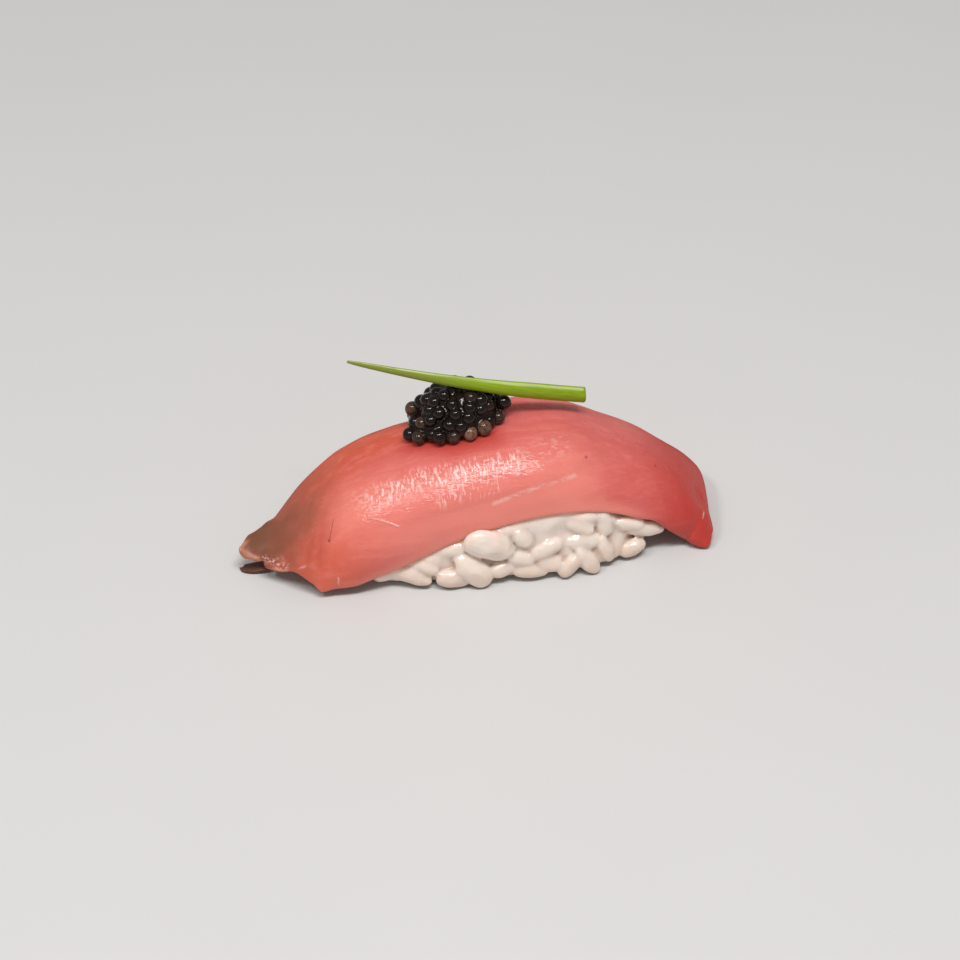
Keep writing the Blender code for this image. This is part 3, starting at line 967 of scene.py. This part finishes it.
def grain_matrix(place, normal, lean, roll):
    """Where a grain lies: its length in the heap's surface, turned from level by its lean."""
    level = Vector((0, 0, 1)).cross(normal).normalized()
    slope = normal.cross(level).normalized()
    along = level * math.cos(lean) + slope * math.sin(lean)
    turn = Matrix((along, normal.cross(along), normal)).transposed().to_4x4()
    return Matrix.Translation(place) @ turn @ Matrix.Rotation(roll, 4, "X")


def front_places(tree, settings):
    places = []
    for x, z, lean, size, width, out in FRONT_GRAINS:
        start = Vector((x, -40, z)) * MM
        hit, normal, _, _ = tree.ray_cast(start, Vector((0, 1, 0)))
        if hit is None:
            raise RuntimeError(f"no rice behind the front grain at x {x}, z {z}")
        normal = Vector((normal.x, normal.y, 0.35 * normal.z)).normalized()
        place = hit - normal * (settings.grain_sink - out * MM)
        depth = GRAIN_DEPTH * width * MM
        places.append((place, normal, math.radians(lean), size * MM, width * MM, depth))
    for place, lean, size, width in END_GRAINS:
        normal = Vector((0.15, -1.0, 0.1)).normalized()
        depth = GRAIN_DEPTH * width * MM
        places.append((Vector(place) * MM, normal, math.radians(lean), size * MM, width * MM, depth))
    return places


def row_places(tree, settings, taken):
    """Grains in rows round the rest of the heap, where none is taken yet."""
    draw = random.Random(settings.seed)
    places = []
    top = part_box("rice")[1].z
    height = 0.55 * settings.grain_width
    while height < top - 2.5 * MM:
        walked = draw.random() * settings.pitch
        last = None
        for degree in range(0, 361):
            turn = math.radians(degree)
            ray = Vector((math.cos(turn), 0.55 * math.sin(turn), 0)).normalized()
            hit, normal, _, _ = tree.ray_cast(Vector((0, 0, height)) + ray * 60 * MM, -ray)
            if hit is None:
                last = None
                continue
            if last is not None:
                walked += (hit - last).length
            last = hit
            if walked < settings.pitch:
                continue
            walked -= settings.pitch * draw.uniform(0.85, 1.15)
            size = draw.uniform(0.85, 1.12)
            lean = math.radians(draw.uniform(-65, 65))
            if any((hit - other).length < FRONT_CLEAR * MM for other in taken):
                continue
            if hit.y < 0 and not FRONT_START * MM < hit.x < FRONT_STOP * MM:
                continue
            width = settings.grain_width * size
            place = hit - normal * (settings.grain_sink + draw.uniform(-0.2, 0.4) * MM)
            places.append((place, normal, lean, settings.grain_length * size, width, GRAIN_DEPTH * width))
        height += settings.row_height
    return places


def keep_off(piece, tree, gap):
    """Presses the points that would touch another piece back off its surface.

    Only points are moved, so a face between them can still cut into the other piece.
    """
    co = points_of(piece)
    for number, point in enumerate(co):
        nearest, normal, _, distance = tree.find_nearest(Vector(point), 3 * MM)
        if nearest is None:
            continue
        inside = (Vector(point) - nearest).dot(normal) < 0
        if inside or distance < gap:
            co[number] = nearest + normal * gap
    set_points(piece, co)


def make_rice(settings):
    outline = outline_of("rice", 0.7 * MM, 12)
    tree = tree_of(outline)
    grain = model_grain()
    front = front_places(tree, settings)
    places = front + row_places(tree, settings, [place[0] for place in front])
    draw = random.Random(settings.seed + 1)
    grains = []
    for place, normal, lean, size, width, depth in places:
        matrix = grain_matrix(place, normal, lean, draw.uniform(-0.5, 0.5))
        if draw.random() < 0.5:
            matrix = matrix @ Matrix.Rotation(math.pi, 4, "Z")
        grains.append(copy_grain(grain, (size, width, depth), matrix))
    discard(grain)
    slice_tree = tree_of(bpy.data.objects["tuna_flesh"])
    under = distances(slice_tree, points_of(outline))
    sink = settings.core_sink * (1.7 * ease(under, 0.5 * MM, 3.5 * MM) - 0.7)
    swell(outline, -sink)
    piece = join([outline] + grains, "rice_grains")
    keep_above_floor(piece)
    remesh(piece, settings.voxel)
    relax(piece, 0.5, 2)
    swell(piece, settings.lumps * uneven(points_of(piece), 2.0 * MM, 4))
    keep_off(piece, slice_tree, RICE_CLEAR)
    set_points(piece, inside_box(points_of(piece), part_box("rice")))
    # The low points between the grains are painted darker as shade.
    set_attribute(piece, "height", raised_share(piece, 0.6 * MM))
    # Close to the slice the rice is painted lighter, against the shade where they meet.
    away = distances(slice_tree, points_of(piece))
    set_attribute(piece, "near", 1 - ease(away, 0.3 * MM, 1.6 * MM))
    shade(piece)
    return piece


def keep_above_floor(piece):
    co = points_of(piece)
    co[:, 2] = np.maximum(co[:, 2], 0.0)
    set_points(piece, co)


def raised_share(piece, depth):
    """How far each point stands over the smoothed surface, as a share round a half."""
    smooth = duplicate(piece)
    relax(smooth, 0.6, 40)
    raised = ((points_of(piece) - points_of(smooth)) * normals_of(piece)).sum(1)
    discard(smooth)
    return np.clip(0.5 + raised / depth, 0, 1)


class NIGIRI_OT_rice(bpy.types.Operator):
    """Builds the rice ball from real grains stuck together"""

    bl_idname = "nigiri.rice"
    bl_label = "Rice"

    def execute(self, context):
        settings = context.scene.nigiri_rice
        piece = make_rice(settings)
        dress(piece, rice_finish(settings), "rice")
        return {"FINISHED"}


# Roe

LOW_EGGS = (  # those that show along the mound's foot, in millimetres, and how brown each is
    ((-13.2, 1.5, 20.5), 0.10),
    ((-11.9, -0.2, 21.0), 0.28),
    ((-11.9, 4.3, 20.7), 0.40),
    ((-12.2, 5.3, 22.6), 0.45),
    ((-6.5, -1.9, 22.0), 0.30),
    ((-3.8, -1.9, 22.4), 1.00),
    ((-1.5, -1.3, 22.7), 0.65),
    ((1.1, 0.9, 22.9), 0.28),
    ((-11.2, 1.3, 22.7), 0.35),
    ((-8.4, 0.6, 25.0), 0.05),
    ((2.1, 2.1, 24.9), 0.06),
)
BROWN_EGGS = (  # where others are a little brown
    ((-0.1, 1.2, 25.2), 0.16),
    ((-2.9, 0.6, 27.6), 0.20),
)
BROWN_REACH = 1.15 * MM
MOST_PUSHED = 0.6 * MM  # an egg that the chive would push further aside is left out
FIRST_PLACES = 150  # thrown onto the mound's outline, before they push each other apart
THROWN_FROM = 30  # in millimetres from its middle
PUSHES = 40
PUSH_SHARE = 0.25  # how much of what two places lack in distance each push makes up
KEPT_SHARE = 0.80  # closer than this share of the spacing to a place that is kept, one is dropped
LOW_SHARE = 0.74  # the same beside the listed eggs
EGG_SIZES = (0.88, 1.06)
EGG_CLEAR = 0.08 * MM  # between an egg and the slice or the chive
EGG_TURN = 6.3  # about a full turn, in radians
TINTS = 0.08  # how brown an ordinary egg is at most
BRINE_CLEAR = 0.05 * MM


def spread_out(tree, low, high, spacing, seed):
    """Places over a mound's outline that keep about this spacing from each other."""
    draw = random.Random(seed)
    centre = (low + high) / 2
    places = []
    while len(places) < FIRST_PLACES:
        aim = Vector([draw.uniform(first, last) for first, last in zip(low, high)])
        start = centre + (aim - centre).normalized() * THROWN_FROM * MM
        hit = tree.ray_cast(start, (centre - aim).normalized())[0]
        if hit is not None:
            places.append(hit)
    for _ in range(PUSHES):
        moved = []
        for place in places:
            push = Vector()
            for other in places:
                gap = place - other
                if 0 < gap.length < spacing:
                    push += gap.normalized() * (spacing - gap.length) * PUSH_SHARE
            moved.append(tree.find_nearest(place + push)[0])
        places = moved
    kept = []
    for place in places:
        if all((place - other).length > KEPT_SHARE * spacing for other in kept):
            kept.append(place)
    return kept


def model_egg():
    """One egg of unit radius, a little flattened, with a shallow dimple."""
    deselect()
    bpy.ops.mesh.primitive_uv_sphere_add(segments=16, ring_count=10, radius=1.0)
    egg = bpy.context.object
    egg.name = "egg"
    stretch(egg, (1.0, 0.96, 0.93))
    co = points_of(egg)
    co[:, 2] -= 0.10 * hump(np.hypot(co[:, 0], co[:, 1]), 0.0, 0.35) * (co[:, 2] > 0)
    set_points(egg, co)
    return egg


def clear_of(place, radius, tree):
    """The place, moved so that an egg there keeps off a surface."""
    nearest, normal, _, distance = tree.find_nearest(place)
    if (place - nearest).dot(normal) < 0:
        distance = -distance
    return nearest + normal * radius if distance < radius else place


def make_roe(settings):
    outline = outline_of("roe", 0.6 * MM, 10)
    tree = tree_of(outline)
    low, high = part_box("roe")
    slice_tree = tree_of(bpy.data.objects["tuna_flesh"])
    chive_tree = tree_of(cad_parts["chive"])
    draw = random.Random(settings.seed + 1)
    spots = [(Vector(place) * MM, tint) for place, tint in LOW_EGGS]
    for place in spread_out(tree, low, high, settings.spacing, settings.seed):
        nearest, normal, _, _ = tree.find_nearest(place)
        place = nearest - normal * (settings.egg_sink + draw.uniform(-0.15, 0.2) * MM)
        if all((place - other).length > LOW_SHARE * settings.spacing for other, _ in spots):
            spots.append((place, TINTS * draw.random()))
    egg = model_egg()
    eggs = []
    tints = []
    for place, tint in spots:
        radius = settings.egg_radius * draw.uniform(*EGG_SIZES)
        reach = radius + EGG_CLEAR
        place = clear_of(place, reach, slice_tree)
        moved = clear_of(place, reach, chive_tree)
        if (moved - place).length > MOST_PUSHED:
            continue
        turn = Euler([draw.uniform(0, EGG_TURN) for _ in range(3)]).to_matrix().to_4x4()
        piece = copy_grain(egg, (radius, radius, radius), Matrix.Translation(moved) @ turn)
        for spot, amount in BROWN_EGGS:
            if (moved - Vector(spot) * MM).length < BROWN_REACH:
                tint = amount
        tints += [tint] * len(piece.data.vertices)
        eggs.append(piece)
    discard(egg)
    piece = join(eggs, "roe_eggs")
    set_attribute(piece, "tint", np.array(tints))
    shade(piece)
    return piece, make_brine(settings, outline, piece)


def make_brine(settings, outline, eggs):
    """The brine that fills the hollows between the eggs."""
    swell(outline, -settings.brine_sink)
    brine = join([outline, duplicate(eggs)], "roe_core")
    remesh(brine, settings.voxel)
    relax(brine, 0.5, settings.menisci)
    swell(brine, -settings.film)
    keep_off(brine, tree_of(bpy.data.objects["tuna_flesh"]), BRINE_CLEAR)
    keep_off(brine, tree_of(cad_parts["chive"]), BRINE_CLEAR)
    shade(brine)
    return brine


def core_finish(settings):
    finish = Finish("roe_brine", {"IOR": 1.36, "Specular IOR Level": 0.4, "Roughness": 0.06})
    cloudy = finish.noise(1.1 * MM, 2.0, 0.5)
    finish.link("Base Color", finish.mix(cloudy * 0.04, settings.dark, settings.brown))
    finish.link("Normal", finish.bump(cloudy, 0.04 * MM))
    return finish.material


class NIGIRI_OT_roe(bpy.types.Operator):
    """Builds the roe mound from glossy eggs"""

    bl_idname = "nigiri.roe"
    bl_label = "Roe"

    def execute(self, context):
        settings = context.scene.nigiri_roe
        eggs, core = make_roe(settings)
        dress(eggs, egg_finish(settings), "roe")
        dress(core, core_finish(settings), None)
        return {"FINISHED"}


# Chive

CHIVE_CUT = 0.5  # how much shorter than the CAD solid its cut end is, in millimetres
END_DEPTH = 1.2 * MM  # the cut end's faces lie within this of the CAD solid's end
END_BEVEL = 0.12 * MM
WALL = 0.30 * MM  # between the end's outside and its hollow
UPPER_EDGE = np.array((0.20, -0.55, 0.81))  # which way the painted highlight along the blade faces


def make_chive(settings):
    piece = copy_of_node("chive", "chive_blade")
    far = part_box("chive")[1].x
    choose(piece)
    bpy.ops.object.mode_set(mode="EDIT")
    bpy.ops.mesh.select_all(action="DESELECT")
    bpy.ops.object.mode_set(mode="OBJECT")
    end_x = far - END_DEPTH
    for face in piece.data.polygons:
        face.select = face.center.x > end_x and face.normal.x > 0.7
    bpy.ops.object.mode_set(mode="EDIT")
    bpy.ops.mesh.dissolve_faces()
    bpy.ops.mesh.inset(thickness=END_BEVEL)
    bpy.ops.mesh.inset(thickness=WALL)
    inwards = (-settings.hollow, 0, 0.3 * settings.hollow)
    bpy.ops.mesh.extrude_region_move(TRANSFORM_OT_translate={"value": inwards})
    bpy.ops.mesh.inset(thickness=0.2 * MM)
    bpy.ops.object.mode_set(mode="OBJECT")
    crease_sharp_edges(piece, math.radians(60), 0.6)
    subdivide(piece, 2)
    co = points_of(piece)
    co[:, 0] = np.minimum(co[:, 0], far - CHIVE_CUT * MM)
    set_points(piece, co)
    # Which way each point faces, for the painted highlight along the edge.
    set_attribute(piece, "upper", normals_of(piece) @ UPPER_EDGE)
    shade(piece)
    return piece


class NIGIRI_OT_chive(bpy.types.Operator):
    """Shapes the chive blade with its hollow cut end"""

    bl_idname = "nigiri.chive"
    bl_label = "Chive"

    def execute(self, context):
        settings = context.scene.nigiri_chive
        piece = make_chive(settings)
        low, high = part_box("chive")
        fall = math.atan2(high.z - low.z, high.x - low.x)
        dress(piece, chive_finish(settings, (0.0, -fall, 0.0)), "chive")
        return {"FINISHED"}


# Stage

AIM = Vector((-0.2, 12.7, 0.0)) * MM  # what the middle of the picture shows on the floor
FLOOR_SIZE = 3.0
# The lights, in metres: where each hangs, what it aims at, and how long and wide it is.
KEY_LIGHT = ((0.02, -0.30, 0.78), (0, 0, 0.01), (0.42, 0.13))
SIDE_LIGHT = ((-0.40, -0.22, 0.70), (-0.02, 0, 0.01), (0.24, 0.12))


def add_area_light(name, place, aim, size, power):
    light = bpy.data.lights.new(name, "AREA")
    light.shape = "RECTANGLE"
    light.size, light.size_y = size
    light.energy = power
    lamp = bpy.data.objects.new(name, light)
    bpy.context.scene.collection.objects.link(lamp)
    lamp.location = place
    lamp.rotation_euler = (Vector(aim) - Vector(place)).to_track_quat("-Z", "Y").to_euler()


def add_camera(settings):
    camera = bpy.data.cameras.new("camera")
    camera.lens = settings.lens
    camera.sensor_width = 36.0
    camera.clip_start = 0.01
    camera.clip_end = 10.0
    holder = bpy.data.objects.new("camera", camera)
    bpy.context.scene.collection.objects.link(holder)
    level = math.cos(settings.elevation)
    x = math.sin(settings.azimuth) * level
    y = -math.cos(settings.azimuth) * level
    back = Vector((x, y, math.sin(settings.elevation)))
    holder.location = AIM + back * settings.distance
    holder.rotation_euler = (-back).to_track_quat("-Z", "Y").to_euler()
    bpy.context.scene.camera = holder


def floor_finish(settings):
    finish = Finish("floor", {"Roughness": 0.7, "Specular IOR Level": 0.3})
    cloudy = finish.noise(0.04, 3.0, 0.5)
    darker = tuple(0.97 * c for c in settings.floor)
    finish.link("Base Color", finish.mix(cloudy, settings.floor, darker))
    return finish.material


def add_floor(settings):
    deselect()
    bpy.ops.mesh.primitive_plane_add(size=FLOOR_SIZE, location=(0, 0, 0))
    floor = bpy.context.object
    floor.name = "floor"
    floor.data.materials.append(floor_finish(settings))


def add_world(settings):
    world = bpy.data.worlds.new("studio")
    bpy.context.scene.world = world
    world.use_nodes = True
    background = world.node_tree.nodes["Background"]
    background.inputs["Color"].default_value = (1.0, 0.98, 0.96, 1.0)
    background.inputs["Strength"].default_value = settings.fill


class NIGIRI_OT_stage(bpy.types.Operator):
    """Adds the floor, the studio light and the camera"""

    bl_idname = "nigiri.stage"
    bl_label = "Stage"

    def execute(self, context):
        settings = context.scene.nigiri_stage
        add_floor(settings)
        add_camera(settings)
        add_world(settings)
        add_area_light("key", *KEY_LIGHT, settings.key_power)
        add_area_light("side", *SIDE_LIGHT, settings.side_power)
        context.scene.view_settings.view_transform = "Standard"
        return {"FINISHED"}


# Add-on

OPERATORS = (NIGIRI_OT_slice, NIGIRI_OT_rice, NIGIRI_OT_roe, NIGIRI_OT_chive, NIGIRI_OT_stage)


class NIGIRI_PT_pieces(bpy.types.Panel):
    bl_idname = "NIGIRI_PT_pieces"
    bl_label = "Nigiri"
    bl_space_type = "VIEW_3D"
    bl_region_type = "UI"
    bl_category = "Nigiri"

    def draw(self, context):
        for (group, kind), operator in zip(SETTINGS.items(), OPERATORS):
            box = self.layout.box()
            box.operator(operator.bl_idname)
            for name in kind.__annotations__:
                box.prop(getattr(context.scene, group), name)


def register():
    for kind in SETTINGS.values():
        bpy.utils.register_class(kind)
    for name, kind in SETTINGS.items():
        setattr(bpy.types.Scene, name, PointerProperty(type=kind))
    for kind in (*OPERATORS, NIGIRI_PT_pieces):
        bpy.utils.register_class(kind)


def unregister():
    for kind in (NIGIRI_PT_pieces, *reversed(OPERATORS)):
        bpy.utils.unregister_class(kind)
    for name in SETTINGS:
        delattr(bpy.types.Scene, name)
    for kind in reversed(SETTINGS.values()):
        bpy.utils.unregister_class(kind)


def main():
    register()
    bpy.ops.nigiri.slice()
    bpy.ops.nigiri.rice()
    bpy.ops.nigiri.roe()
    bpy.ops.nigiri.chive()
    bpy.ops.nigiri.stage()


if __name__ == "__main__":
    main()
